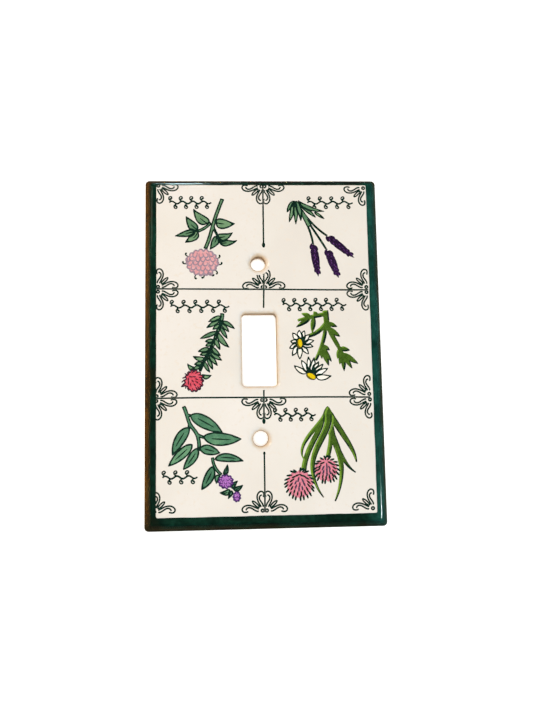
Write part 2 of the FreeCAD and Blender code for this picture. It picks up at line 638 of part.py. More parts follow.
ROSEMARY_STEM = [(12.9, -12.1), (13.4, -9.0), (14.8, -5.2), (16.0, -1.8), (17.8, 1.6), (19.6, 5.0),
                 (20.6, 7.4)]
ROSEMARY_NEEDLES = [
    ((13.0, -9.4), (8.8, -6.9), 1.4, 0.05), ((13.2, -8.8), (10.7, -5.8), 1.3, 0.0),
    ((13.6, -7.4), (11.3, -3.5), 1.3, 0.0), ((14.3, -5.6), (10.7, -0.5), 1.8, -0.1),
    ((15.4, -3.4), (13.8, 0.3), 1.4, 0.0), ((16.4, -0.6), (13.6, 2.4), 1.4, -0.05),
    ((17.0, 0.8), (13.2, 3.9), 1.5, -0.05), ((17.5, 1.9), (14.7, 5.7), 1.4, 0.0),
    ((18.0, 2.8), (16.3, 7.0), 1.4, 0.0), ((19.0, 4.4), (17.3, 7.9), 1.3, -0.05),
    ((19.9, 8.6), (16.8, 8.9), 1.5, -0.25),
    ((13.4, -11.2), (17.6, -9.4), 1.4, 0.0), ((13.7, -10.0), (18.3, -7.3), 1.5, 0.0),
    ((13.9, -8.4), (16.2, -6.7), 1.3, 0.0), ((14.7, -5.9), (20.5, -3.6), 1.5, 0.0),
    ((16.0, -3.0), (18.8, -2.6), 1.3, 0.0), ((16.4, -1.9), (18.7, -1.1), 1.3, 0.0),
    ((17.3, -0.2), (21.2, 0.8), 1.5, 0.0), ((17.9, 1.2), (20.6, 2.0), 1.4, 0.0),
    ((19.0, 3.0), (22.9, 2.4), 1.5, 0.15), ((19.8, 4.5), (22.5, 5.2), 1.4, 0.0),
    ((20.4, 5.8), (22.8, 6.7), 1.4, 0.0), ((21.4, 6.2), (24.8, 4.9), 1.6, 0.3),
]


def rosemary():
    areas = [("rosemary_blossom", [(flower_head, (22.6, 10.7, 3.3, 3.8, 0.85, 14)),
                                   (needle, ((24.6, 11.2), (26.9, 12.7), 1.0))])]
    areas += [("rosemary_needles", [(needle, values)]) for values in ROSEMARY_NEEDLES]
    areas.append(("rosemary_stem", [(stroke, (ROSEMARY_STEM, 1.2, 0.3))]))
    paint(areas)


LAVENDER_SPIKES = [((-23.9, -34.0), (-27.5, -24.2), 2.9), ((-18.9, -36.1), (-20.4, -24.7), 2.8),
                   ((-24.1, -39.0), (-33.2, -31.3), 2.6)]
LAVENDER_STEMS = [
    ([(-23.7, -33.9), (-20.8, -38.8), (-17.6, -43.9), (-14.2, -50.4)], 0.55, 0.0),
    ([(-18.9, -36.0), (-18.2, -39.6), (-16.6, -44.2), (-13.9, -50.4)], 0.55, 0.0),
    ([(-23.8, -39.3), (-20.0, -42.4), (-16.8, -46.1), (-14.0, -50.6)], 0.55, 0.0),
    ([(-17.6, -42.6), (-15.9, -46.2), (-13.7, -50.9)], 1.2, 0.3),
]
LAVENDER_LEAVES = [
    ((-13.3, -51.8), (-14.8, -44.7), 1.5, 0.05), ((-13.2, -51.8), (-13.0, -43.5), 1.5, 0.0),
    ((-13.0, -51.7), (-10.7, -44.2), 1.6, 0.0), ((-12.8, -51.8), (-10.0, -47.8), 1.6, -0.05),
    ((-14.0, -52.0), (-23.0, -48.1), 1.4, -0.1), ((-14.6, -50.8), (-20.0, -45.9), 1.5, 0.0),
    ((-19.6, -47.8), (-23.0, -45.4), 0.95, 0.0),
]


def lavender_spike(foot, tip, width, grow=0.0):
    """Lumpy spike of florets along its axis, those on one side half a step behind the other."""
    parts = [needle(foot, tip, width, 0.0, grow)]
    pairs = 6
    axis = math.degrees(math.atan2(tip[1] - foot[1], tip[0] - foot[0]))
    length = math.hypot(tip[0] - foot[0], tip[1] - foot[1])
    across = (-(tip[1] - foot[1]) / length, (tip[0] - foot[0]) / length)
    for pair in range(pairs):
        for side in (1, -1):
            share = (pair + 0.5 + 0.22 * side) / (pairs + 0.8)
            slim = 1 - 0.2 * share
            aside = side * width * (0.28 - 0.1 * share)
            parts.append(oval(foot[0] + (tip[0] - foot[0]) * share + across[0] * aside,
                              foot[1] + (tip[1] - foot[1]) * share + across[1] * aside,
                              1.15 * slim, 0.62 * slim, axis + 24 * slim * side, grow))
    return joined(parts)


def lavender():
    areas = [("lavender_spikes", [(lavender_spike, values)]) for values in LAVENDER_SPIKES]
    areas += [("lavender_leaves", [(needle, values)]) for values in LAVENDER_LEAVES]
    areas.append(("lavender_stems", [(stroke, values) for values in LAVENDER_STEMS]))
    paint(areas)


# Building, checking and writing -----------------------------------------------------------------
make_clay_body()
make_ivory_glaze()
make_green_glaze()
paint_grid()
paint_scrolls()
raise_enamel("pen_flourishes", [face for values in FLOURISHES for face in flourish(*values).Faces])
for herb in (chives, basil, chamomile, rosemary, lavender, thyme):
    herb()
doc.recompute()

HELPERS = ("glaze_envelope", "glaze_core")
NODES = [item for item in doc.Objects if item.Name not in HELPERS
         and (item.TypeId in ("PartDesign::Body", "Part::Cut", "Part::Extrusion"))]
for item in doc.Objects:
    if "Invalid" in item.State or "Error" in item.State:
        raise RuntimeError("%s failed: %s" % (item.Name, item.State))
for item in NODES:
    if item.Shape.isNull() or not item.Shape.isValid() or item.Shape.Volume <= 0:
        raise RuntimeError(item.Label + " has no valid solid")

os.makedirs("parts", exist_ok=True)
for item in NODES:
    item.Shape.exportStep(os.path.join("parts", item.Label + ".step"))
    box = item.Shape.BoundBox
    print("%-20s %3d solids %10.2f mm3  x %.1f..%.1f  y %.1f..%.1f  z %.2f..%.2f" % (
        item.Label, len(item.Shape.Solids), item.Shape.Volume, box.XMin, box.XMax, box.YMin,
        box.YMax, box.ZMin, box.ZMax))
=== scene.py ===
"""Looks of the wall plate cover: glazed ceramic with six herb sprigs in raised enamel."""

import math
import random

import bpy
import numpy as np
from mathutils import Matrix, Vector
from mathutils.geometry import delaunay_2d_cdt


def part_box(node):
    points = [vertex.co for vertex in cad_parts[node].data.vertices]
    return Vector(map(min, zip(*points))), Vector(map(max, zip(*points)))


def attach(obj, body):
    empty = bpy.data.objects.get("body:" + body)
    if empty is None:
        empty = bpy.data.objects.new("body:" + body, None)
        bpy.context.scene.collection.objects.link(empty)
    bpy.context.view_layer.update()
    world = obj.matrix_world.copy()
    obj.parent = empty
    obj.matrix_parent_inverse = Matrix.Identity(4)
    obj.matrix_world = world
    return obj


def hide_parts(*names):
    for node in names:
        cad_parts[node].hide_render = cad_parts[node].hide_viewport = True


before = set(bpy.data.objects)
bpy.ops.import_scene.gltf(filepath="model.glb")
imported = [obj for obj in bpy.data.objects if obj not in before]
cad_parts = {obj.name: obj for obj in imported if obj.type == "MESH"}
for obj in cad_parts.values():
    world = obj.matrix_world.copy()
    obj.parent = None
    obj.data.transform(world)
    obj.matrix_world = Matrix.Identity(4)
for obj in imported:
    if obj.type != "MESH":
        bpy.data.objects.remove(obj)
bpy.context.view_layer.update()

MM = 0.001
GLAZE_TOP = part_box("ivory_face_glaze")[1][2] / MM
CLAY_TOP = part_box("clay_body")[1][2] / MM


# Camera -----------------------------------------------------------------------------------------
CAMERA_PLACE = (9.61, 25.18, 216.19)
CAMERA_TURN = (6.19, -2.74, -0.86)
SENSOR = 36.0
FOCAL_PIXELS = 620
IMAGE_HEIGHT = 711


def place_camera():
    """Hand-held view from above, a little off the plate's centre, with the plate upside down."""
    position = Vector(CAMERA_PLACE) * MM
    turn = Vector([math.radians(angle) for angle in CAMERA_TURN])
    tilt = Matrix.Rotation(turn.length, 4, turn.normalized())
    upside_down = Matrix.Diagonal((-1, -1, 1, 1))
    lens = bpy.data.cameras.new("camera")
    lens.sensor_width = SENSOR
    lens.lens = SENSOR * FOCAL_PIXELS / IMAGE_HEIGHT
    lens.clip_start = 0.005
    lens.clip_end = 20.0
    camera = bpy.data.objects.new("camera", lens)
    camera.matrix_world = Matrix.Translation(position) @ upside_down @ tilt
    bpy.context.scene.collection.objects.link(camera)
    bpy.context.scene.camera = camera


# Outlines ---------------------------------------------------------------------------------------
# Every outline is a closed loop of points in millimetres, with its filled side on the left.
SPECK = 0.005
DEPTH_CAP = 1.0


def signed_area(loop):
    after = np.roll(loop, -1, axis=0)
    return 0.5 * float(np.sum(loop[:, 0] * after[:, 1] - after[:, 0] * loop[:, 1]))


def resample(loop, spacing):
    """The same closed line with evenly spaced points."""
    closed = np.vstack([loop, loop[:1]])
    lengths = np.hypot(*np.diff(closed, axis=0).T)
    along = np.concatenate([[0.0], np.cumsum(lengths)])
    count = max(8, int(round(along[-1] / spacing)))
    steps = np.linspace(0.0, along[-1], count, endpoint=False)
    return np.column_stack([np.interp(steps, along, closed[:, axis]) for axis in (0, 1)])


def top_areas(node):
    """Painted areas of one CAD node, each a list of loops: its outline, then its holes."""
    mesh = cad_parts[node].data
    top = max(vertex.co.z for vertex in mesh.vertices)
    spots = [(round(v.co.x, 7), round(v.co.y, 7)) for v in mesh.vertices]
    flat = [abs(vertex.co.z - top) < 5e-6 for vertex in mesh.vertices]
    edges = set()
    for polygon in mesh.polygons:
        if not all(flat[index] for index in polygon.vertices):
            continue
        corners = [spots[index] for index in polygon.vertices]
        for start, end in zip(corners, corners[1:] + corners[:1]):
            if start == end:
                continue
            if (end, start) in edges:
                edges.remove((end, start))
            else:
                edges.add((start, end))
    following = {}
    for start, end in sorted(edges):
        following.setdefault(start, []).append(end)
    loops = []
    while following:
        first = min(following)
        loop, spot = [], first
        while spot in following:
            loop.append(spot)
            ends = following[spot]
            onward = ends.pop()
            if not ends:
                del following[spot]
            spot = onward
            if spot == first:
                break
        loops.append(np.array(loop) / MM)
    return group(loops)


def group(loops):
    """Holes put with the outline that holds them, leaving out specks."""
    outlines = [loop for loop in loops if len(loop) > 2 and signed_area(loop) > SPECK]
    holes = [loop for loop in loops if len(loop) > 2 and signed_area(loop) < -SPECK]
    areas = [[outline] for outline in outlines]
    for hole in holes:
        for area in areas:
            if measure(hole[:1], [area[0]])[0] > 0:
                area.append(hole)
                break
    return areas


def measure(points, loops):
    """Distance from each point to the nearest loop, negative outside the filled area."""
    starts = np.concatenate(loops)
    ends = np.concatenate([np.roll(loop, -1, axis=0) for loop in loops])
    run = ends - starts
    squared = np.maximum((run ** 2).sum(axis=1), 1e-12)
    rise = np.where(run[:, 1] == 0, 1e-12, run[:, 1])
    result = np.empty(len(points))
    for first in range(0, len(points), 1500):
        some = points[first:first + 1500]
        offset = some[:, None, :] - starts[None, :, :]
        share = np.clip((offset * run).sum(axis=2) / squared, 0.0, 1.0)
        gap = offset - share[:, :, None] * run
        near = np.sqrt((gap ** 2).sum(axis=2).min(axis=1))
        level = some[:, 1][:, None]
        spans = (starts[:, 1] > level) != (ends[:, 1] > level)
        crossing = starts[:, 0] + (level - starts[:, 1]) * run[:, 0] / rise
        odd = (spans & (some[:, 0][:, None] < crossing)).sum(axis=1) % 2 == 1
        result[first:first + 1500] = np.where(odd, near, -near)
    return result


def wobble(points, scale, seed=0.0):
    """Smooth unevenness between about -1 and 1 with a wave of about scale millimetres."""
    x, y = points[:, 0] / scale * 6.283, points[:, 1] / scale * 6.283
    return (np.sin(x + 1.3 * seed + 0.8 * np.sin(0.7 * y + seed))
            + np.sin(0.8 * y - 0.6 * x + 2.1 * seed)
            + np.sin(1.31 * x + 1.17 * y + 0.5 * seed)) / 3


def contour(values, left, low, step):
    """Closed lines where a grid of values crosses zero, with positive values on their left."""
    inside = values > 0
    mixed = (inside[:-1, :-1].astype(int) + inside[1:, :-1] + inside[1:, 1:] + inside[:-1, 1:])
    onward, places = {}, {}
    for i, j in np.argwhere((mixed > 0) & (mixed < 4)):
        i, j = int(i), int(j)
        corners = [(i, j), (i + 1, j), (i + 1, j + 1), (i, j + 1)]
        entry, exits, entries = None, [], []
        for a, b in zip(corners, corners[1:] + corners[:1]):
            if inside[a] == inside[b]:
                continue
            key = (min(a, b), max(a, b))
            if key not in places:
                share = values[a] / (values[a] - values[b])
                places[key] = (left + step * (a[0] + share * (b[0] - a[0])),
                               low + step * (a[1] + share * (b[1] - a[1])))
            if inside[b]:
                entries.append(key)
                entry = key
            else:
                exits.append((key, entry))
        for key, start in exits:
            onward[key] = start if start is not None else entries[-1]
    loops = []
    while onward:
        first = min(onward)
        loop, key = [], first
        while key in onward:
            loop.append(places[key])
            key = onward.pop(key)
        loops.append(np.array(loop))
    return loops


def depth_grid(area, step, cap):
    """Grid of distances inside an area, negative outside it and never beyond the cap."""
    everything = np.concatenate(area)
    left, low = everything.min(axis=0) - cap - 2 * step
    right, high = everything.max(axis=0) + cap + 2 * step
    xs, ys = np.arange(left, right, step), np.arange(low, high, step)
    near = np.full((len(xs), len(ys)), float(cap))
    starts = everything
    ends = np.concatenate([np.roll(loop, -1, axis=0) for loop in area])
    for (x0, y0), (x1, y1) in zip(starts.tolist(), ends.tolist()):
        i0, i1 = int((min(x0, x1) - cap - left) / step), int((max(x0, x1) + cap - left) / step) + 2
        j0, j1 = int((min(y0, y1) - cap - low) / step), int((max(y0, y1) + cap - low) / step) + 2
        across, up = xs[i0:i1, None] - x0, ys[None, j0:j1] - y0
        run_x, run_y = x1 - x0, y1 - y0
        share = (across * run_x + up * run_y) / max(run_x * run_x + run_y * run_y, 1e-12)
        share = np.clip(share, 0.0, 1.0)
        window = near[i0:i1, j0:j1]
        np.minimum(window, np.hypot(across - share * run_x, up - share * run_y), out=window)
    inside = np.zeros(near.shape, bool)
    for j, y in enumerate(ys):
        spans = (starts[:, 1] > y) != (ends[:, 1] > y)
        first, last = starts[spans], ends[spans]
        share = (y - first[:, 1]) / (last[:, 1] - first[:, 1])
        crossings = np.sort(first[:, 0] + share * (last[:, 0] - first[:, 0]))
        inside[:, j] = np.searchsorted(crossings, xs) % 2 == 1
    return np.where(inside, near, -near), xs, ys


def shifted(values, across, up):
    """A grid of values moved by fractions of its step, its edge values repeated."""
    whole_x, whole_y = math.floor(across), math.floor(up)
    part_x, part_y = across - whole_x, up - whole_y

    def moved(by_x, by_y):
        rows = np.clip(np.arange(values.shape[0]) - by_x, 0, values.shape[0] - 1)
        columns = np.clip(np.arange(values.shape[1]) - by_y, 0, values.shape[1] - 1)
        return values[np.ix_(rows, columns)]
    return ((1 - part_x) * (1 - part_y) * moved(whole_x, whole_y)
            + part_x * (1 - part_y) * moved(whole_x + 1, whole_y)
            + (1 - part_x) * part_y * moved(whole_x, whole_y + 1)
            + part_x * part_y * moved(whole_x + 1, whole_y + 1))


def reshape(area, rule, step, spacing):
    """Areas where rule(points, depth grid) is positive."""
    depth, xs, ys = depth_grid(area, step, DEPTH_CAP)
    points = np.stack(np.meshgrid(xs, ys, indexing="ij"), axis=-1).reshape(-1, 2)
    values = rule(points, depth)
    loops = contour(values, xs[0], ys[0], step)
    return group([resample(loop, spacing) for loop in loops if len(loop) > 5])


# Solids -----------------------------------------------------------------------------------------
class Pile:
    """Vertices, faces and a tone for each vertex, gathered into one mesh."""

    def __init__(self):
        self.vertices, self.faces, self.tones = [], [], []

    def add(self, vertices, faces, tone=0.5):
        first = len(self.vertices)
        self.vertices += [tuple(vertex) for vertex in vertices]
        self.faces += [tuple(first + index for index in face) for face in faces]
        self.tones += [tone] * len(vertices)


def triangles(area, extra):
    """Delaunay triangles of an area, with extra points inside it."""
    points = [tuple(point) for loop in area for point in loop]
    edges, first = [], 0
    for loop in area:
        count = len(loop)
        edges += [(first + k, first + (k + 1) % count) for k in range(count)]
        first += count
    points += [tuple(point) for point in extra]
    found = delaunay_2d_cdt([Vector(point) for point in points], edges, [], 1, 1e-6)
    spots = np.array([tuple(vertex) for vertex in found[0]])
    faces = [tuple(face) for face in found[2]]
    if not faces:
        return spots, []
    centres = np.array([spots[list(face)].mean(axis=0) for face in faces])
    kept = measure(centres, area) > 0
    return spots, [face for face, keep in zip(faces, kept) if keep]


def rings(area, roll, shares):
    """Points on lines inside an area's loops, where the roll of a pad's edge needs them."""
    found = []
    for share in shares:
        reach = roll * share
        for loop in area:
            tangent = np.roll(loop, -1, axis=0) - np.roll(loop, 1, axis=0)
            tangent /= np.maximum(np.hypot(tangent[:, 0], tangent[:, 1]), 1e-9)[:, None]
            moved = loop + reach * np.column_stack([-tangent[:, 1], tangent[:, 0]])
            found.append(moved[measure(moved, area) > 0.94 * reach])
    return found


def dome(pile, area, base, height, roll, tone=0.5, spacing=0.9):
    """Closed low pad: it sinks into the glaze at its outline and swells to its height."""
    found = rings(area, roll, (0.3, 0.85))
    everything = np.concatenate(area)
    left, low = everything.min(axis=0)
    right, high = everything.max(axis=0)
    xs, ys = np.arange(left, right, spacing), np.arange(low, high, spacing)
    if len(xs) and len(ys):
        grid = np.stack(np.meshgrid(xs, ys, indexing="ij"), axis=-1).reshape(-1, 2)
        found.append(grid[measure(grid, area) > roll + spacing * 0.4])
    spots, faces = triangles(area, np.concatenate(found))
    if not faces:
        return
    depth = np.clip(measure(spots, area), 0.0, roll) / roll
    rise = 1 - (1 - depth) ** 2
    levels = base - 0.005 + height * rise
    seat = base - 0.03
    count = len(spots)
    vertices = [(x * MM, y * MM, z * MM) for (x, y), z in zip(spots, levels)]
    vertices += [(x * MM, y * MM, seat * MM) for x, y in spots]
    rim = {}
    for face in faces:
        for a, b in zip(face, face[1:] + face[:1]):
            if (b, a) in rim:
                del rim[(b, a)]
            else:
                rim[(a, b)] = True
    solid = list(faces)
    solid += [tuple(count + index for index in reversed(face)) for face in faces]
    solid += [(b, a, count + a, count + b) for a, b in rim]
    pile.add(vertices, solid, tone)


def build(pile, name, material, stands_for=()):
    """The piece that a pile becomes, riding with the plate."""
    mesh = bpy.data.meshes.new(name)
    used = sorted({index for face in pile.faces for index in face})
    place = {old: new for new, old in enumerate(used)}
    mesh.from_pydata([pile.vertices[index] for index in used], [],
                     [tuple(place[index] for index in face) for face in pile.faces])
    tone = mesh.attributes.new("tone", "FLOAT", "POINT")
    tone.data.foreach_set("value", [pile.tones[index] for index in used])
    mesh.polygons.foreach_set("use_smooth", [True] * len(mesh.polygons))
    mesh.materials.append(material)
    mesh.update()
    piece = bpy.data.objects.new(name, mesh)
    bpy.context.scene.collection.objects.link(piece)
    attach(piece, "root")
    if stands_for:
        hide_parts(*stands_for)
    return piece


# Materials --------------------------------------------------------------------------------------
LIGHT_LEVEL = 1.08


def linear(code):
    """Linear colour of a display colour, allowing for the light that falls on the face."""
    parts = [int(code[k:k + 2], 16) / 255 for k in (0, 2, 4)]
    plain = [part / 12.92 if part <= 0.04045 else ((part + 0.055) / 1.055) ** 2.4 for part in parts]
    return tuple(min(part / LIGHT_LEVEL, 1.0) for part in plain) + (1.0,)


class Recipe:
    """A material's node tree, with short calls to add nodes and set or link their sockets."""

    def __init__(self, name, **settings):
        self.material = bpy.data.materials.new(name)
        self.material.use_nodes = True
        self.tree = self.material.node_tree
        self.shader = self.tree.nodes["Principled BSDF"]
        for socket, value in settings.items():
            self.shader.inputs[socket.replace("_", " ")].default_value = value
        coordinates = self.tree.nodes.new("ShaderNodeTexCoord")
        self.place = self.add("ShaderNodeVectorMath", {0: coordinates.outputs["Object"],
                                                       1: (1000, 1000, 1000)}, operation="MULTIPLY")
        self.place = self.place.outputs[0]

    def add(self, kind, sockets=None, **settings):
        node = self.tree.nodes.new(kind)
        for key, value in settings.items():
            setattr(node, key, value)
        for key, value in (sockets or {}).items():
            self.join(node.inputs[key], value)
        return node

    def join(self, socket, value):
        if isinstance(value, bpy.types.NodeSocket):
            self.tree.links.new(value, socket)
        else:
            socket.default_value = value

    def noise(self, scale, detail=3.0, distortion=0.0):
        node = self.add("ShaderNodeTexNoise", {"Vector": self.place, "Scale": scale,
                                               "Detail": detail, "Distortion": distortion})
        return node.outputs["Fac"]

    def math(self, operation, first, second):
        return self.add("ShaderNodeMath", {0: first, 1: second}, operation=operation).outputs[0]

    def ramp(self, factor, stops):
        """Colours between stops of (position, display colour)."""
        node = self.add("ShaderNodeValToRGB", {"Fac": factor})
        elements = node.color_ramp.elements
        while len(elements) > 1:
            elements.remove(elements[-1])
        for number, (position, code) in enumerate(stops):
            element = elements[0] if number == 0 else elements.new(position)
            element.position = position
            element.color = linear(code)
        return node.outputs["Color"]

    def remap(self, value, low, high, new_low, new_high):
        node = self.add("ShaderNodeMapRange", {0: value, 1: low, 2: high, 3: new_low, 4: new_high})
        return node.outputs[0]

    def mix(self, factor, first, second):
        node = self.add("ShaderNodeMix", {"Factor": factor}, data_type="RGBA")
        for key, value in ((6, first), (7, second)):
            self.join(node.inputs[key], value)
        return node.outputs[2]

    def axis(self, letter):
        """Distance along one axis in millimetres; Z is the height above the wall."""
        return self.add("ShaderNodeSeparateXYZ", {0: self.place}).outputs[letter]

    def finish(self, colour, roughness=None, bumps=()):
        self.join(self.shader.inputs["Base Color"], colour)
        if roughness is not None:
            self.join(self.shader.inputs["Roughness"], roughness)
        last = None
        for value, depth, strength in bumps:
            sockets = {"Height": value, "Distance": depth * MM, "Strength": strength}
            if last is not None:
                sockets["Normal"] = last
            last = self.add("ShaderNodeBump", sockets).outputs["Normal"]
        if last is not None:
            self.join(self.shader.inputs["Normal"], last)
        return self.material


BRISTLE_GRAIN = 2.4


def enamel(name, codes, mottle=0.55, gloss=0.22):
    """Brushed, fired enamel: tone by stroke, pooled and thin places, faint brush relief."""
    recipe = Recipe(name, Specular_IOR_Level=gloss)
    tone = recipe.add("ShaderNodeAttribute", attribute_name="tone").outputs["Fac"]
    pools = recipe.noise(mottle, 4.0, 0.4)
    bristles = recipe.noise(BRISTLE_GRAIN, 2.0, 0.2)
    spread = recipe.remap(pools, 0.3, 0.7, -0.3, 0.3)
    fine = recipe.remap(bristles, 0.3, 0.7, -0.12, 0.12)
    factor = recipe.math("ADD", recipe.math("ADD", tone, spread), fine)
    colour = recipe.ramp(factor, [(k / (len(codes) - 1), code) for k, code in enumerate(codes)])
    roughness = recipe.remap(bristles, 0.3, 0.7, 0.2, 0.36)
    return recipe.finish(colour, roughness, [(bristles, 0.03, 0.35), (pools, 0.06, 0.25)])


def ivory_glaze():
    """Cream gloss with cloudy tone and a few iron specks; down the lips into the openings it turns
    peach, then darker tan, partly clay showing where the glaze thins and partly painted warm light
    and painted shade.
    """
    recipe = Recipe("ivory_glaze", Specular_IOR_Level=0.3)
    clouds = recipe.noise(0.045, 3.0)
    waves = recipe.noise(0.16, 2.0)
    base = recipe.ramp(clouds, [(0.3, "E6E0D8"), (0.5, "E9E4DC"), (0.7, "ECE7E1")])
    cells = recipe.add("ShaderNodeTexVoronoi", {"Vector": recipe.place, "Scale": 0.55})
    speck = recipe.remap(cells.outputs["Distance"], 0.035, 0.075, 1.0, 0.0)
    chance = recipe.remap(recipe.noise(0.9, 1.0), 0.52, 0.6, 0.0, 0.55)
    speckled = recipe.mix(recipe.math("MULTIPLY", speck, chance), base, linear("C9A782"))
    uneven = recipe.remap(recipe.noise(0.8, 3.0), 0.3, 0.7, -0.25, 0.25)
    depth = recipe.math("ADD", recipe.axis("Z"), uneven)
    # Painted light and shade: the lip colour runs from peach to darker tan deeper in the openings,
    # over clay showing where the glaze thins.
    thin_glaze_and_painted_light = recipe.ramp(recipe.remap(depth, 4.6, 7.0, 0.0, 1.0),
                       [(0.0, "CDAF8C"), (0.35, "DEC4A2"), (0.62, "E6D3BA"), (0.85, "EADECF"),
                        (0.97, "E9E4DC")])
    lip_glaze_and_painted_light_mask = recipe.remap(depth, 6.7, 6.95, 1.0, 0.0)
    colour = recipe.mix(lip_glaze_and_painted_light_mask, speckled, thin_glaze_and_painted_light)
    roughness = recipe.remap(waves, 0.3, 0.7, 0.14, 0.24)
    pores = recipe.noise(0.5, 2.0)
    return recipe.finish(colour, roughness, [(waves, 0.25, 0.3), (pores, 0.02, 0.3)])


def green_glaze():
    """Deep green gloss that turns olive brown low on the edges, partly where the glaze thins and
    partly as painted reflection of warm light, strongest towards +X; its lighter teal towards -X is
    painted cool light.
    """
    recipe = Recipe("green_glaze", Specular_IOR_Level=0.2, IOR=1.25)
    clouds = recipe.noise(0.12, 4.0, 0.5)
    streaks = recipe.noise(0.7, 3.0)
    height = recipe.math("ADD", recipe.axis("Z"), recipe.remap(clouds, 0.3, 0.7, -0.8, 0.8))
    shade = recipe.math("ADD", clouds, recipe.remap(streaks, 0.3, 0.7, -0.1, 0.1))
    deep = recipe.ramp(shade, [(0.3, "04160F"), (0.5, "082219"), (0.72, "0D3025")])
    # Painted light: towards -X the rim turns lighter teal, which stands for the cool side lamp
    # falling on that side.
    painted_cool_light_teal = recipe.ramp(shade, [(0.3, "0B3029"), (0.5, "14423A"), (0.72, "1D5047")])
    across = recipe.axis("X")
    green = recipe.mix(recipe.remap(across, -38.5, -33.0, 1.0, 0.0), deep, painted_cool_light_teal)
    # Olive brown low on the edges: partly glaze breaking where it thins, partly painted reflection
    # of warm light.
    thin_glaze_and_painted_light = recipe.ramp(clouds, [(0.3, "3A270A"), (0.7, "573A12")])
    # Painted reflection: the brown grows stronger and reaches higher towards +X, where the warm
    # lamp stands, and fades near +Y.
    side = recipe.math("MULTIPLY", recipe.remap(across, -34.0, 38.0, 0.55, 1.0),
                       recipe.remap(recipe.axis("Y"), 54.0, 60.0, 1.0, 0.4))
    reach = recipe.remap(across, -34.0, 38.0, 0.0, 1.3)
    thin_break_and_painted_reflection = recipe.remap(recipe.math("SUBTRACT", height, reach), 2.6, 5.2, 0.95, 0.0)
    thin_break_and_painted_reflection = recipe.math("MULTIPLY", thin_break_and_painted_reflection, side)
    colour = recipe.mix(thin_break_and_painted_reflection, green, thin_glaze_and_painted_light)
    roughness = recipe.remap(streaks, 0.3, 0.7, 0.07, 0.15)
    return recipe.finish(colour, roughness, [(clouds, 0.5, 0.25), (streaks, 0.03, 0.3)])


def bisque_clay():
    """Unglazed fired clay: buff, grainy and a little stained; tan inside the openings, darker
    midway down, as painted shade and painted warm reflected light.
    """
    recipe = Recipe("bisque_clay", Specular_IOR_Level=0.25)
    grain = recipe.noise(3.0, 6.0)
    stains = recipe.noise(0.1, 4.0, 0.6)
    buff = recipe.ramp(stains, [(0.3, "CDB79A"), (0.5, "DCC8AC"), (0.7, "E6D6BF")])
    cells = recipe.add("ShaderNodeTexVoronoi", {"Vector": recipe.place, "Scale": 1.1})
    grog = recipe.remap(cells.outputs["Distance"], 0.05, 0.16, 0.6, 0.0)
    flecked = recipe.mix(grog, buff, linear("A98A66"))
    depth = recipe.math("ADD", recipe.axis("Z"), recipe.remap(grain, 0.3, 0.7, -0.3, 0.3))
    # Painted light: the tan walls inside the openings, darkest midway down, stand for shade and
    # warm bounced light; the clay itself is the buff of the back.
    wall = recipe.ramp(recipe.remap(depth, 2.0, 6.7, 0.0, 1.0),
                       [(0.0, "C8AF92"), (0.5, "B99C7A"), (0.8, "D0B494"), (1.0, "E8D0AE")])
    colour = recipe.mix(recipe.remap(depth, 1.9, 2.6, 0.0, 1.0), flecked, wall)
    return recipe.finish(colour, recipe.remap(grain, 0.3, 0.7, 0.6, 0.85),
                         [(grain, 0.08, 0.6), (cells.outputs["Distance"], 0.05, 0.3)])


MATERIALS = {
    "ink": enamel("ink_enamel", ["05170F", "0B271D", "163D31"], 0.9, gloss=0.1),
    "sage": enamel("sage_enamel", ["527A5C", "658A66", "7CA078"], 0.45),
    "basil": enamel("basil_enamel", ["3F7054", "528464", "6E9E78"], 0.4),
    "olive": enamel("olive_enamel", ["2C4710", "3F5D18", "527526"], 0.6),
    "light_olive": enamel("light_olive_enamel", ["587F22", "6E942E", "8AAC48"], 0.6),
    "pink": enamel("pink_enamel", ["CA6A7E", "DA8294", "E49EAA"], 0.7),
    "pale_pink": enamel("pale_pink_enamel", ["D68E94", "E0A0A4", "E8B8BA"], 0.6),
    "rose": enamel("rose_enamel", ["C03A4C", "D85062", "E27482"], 0.8),
    "dark_rose": enamel("dark_rose_enamel", ["26141C", "3A1828", "521E34"], 0.9),
    "lilac": enamel("lilac_enamel", ["9A58B0", "B06FC0", "C690D2"], 0.7),
    "dark_lilac": enamel("dark_lilac_enamel", ["3A1E52", "4A2A66", "5C3A7A"], 0.8),
    "violet": enamel("violet_enamel", ["160A20", "261034", "3C1C50"], 0.7),
    "light_violet": enamel("light_violet_enamel", ["482460", "62347C", "7E4E98"], 0.9),
    "mauve": enamel("mauve_enamel", ["8A7484", "9A8694", "AE9CA8"], 0.8),
    "plum": enamel("plum_enamel", ["2C2836", "463C4E", "665468"], 0.8),
    "white": enamel("white_enamel", ["EFE9DC", "F8F4EA", "FFFDF6"], 0.8),
    "yellow": enamel("yellow_enamel", ["C9A800", "E8C800", "F5DA30"], 1.2),
    "umber": enamel("umber_enamel", ["4A4410", "665C14", "827420"], 1.0),
}


# The two glazes and the clay --------------------------------------------------------------------
SLOT_ROUNDING = 1.3
HOLE_FLARE = 1.7
LIP_STEPS = 8
LIP_THINNING = 0.87
GLAZE_GRID = 3.0


def offset(loop, reach):
    """The loop moved to its left by reach."""
    tangent = np.roll(loop, -1, axis=0) - np.roll(loop, 1, axis=0)
    tangent /= np.maximum(np.hypot(tangent[:, 0], tangent[:, 1]), 1e-9)[:, None]
    return loop + reach * np.column_stack([-tangent[:, 1], tangent[:, 0]])


def nearest(spots, loop):
    """Which of the spots each point of the loop became."""
    return [int(((spots - point) ** 2).sum(axis=1).argmin()) for point in loop]


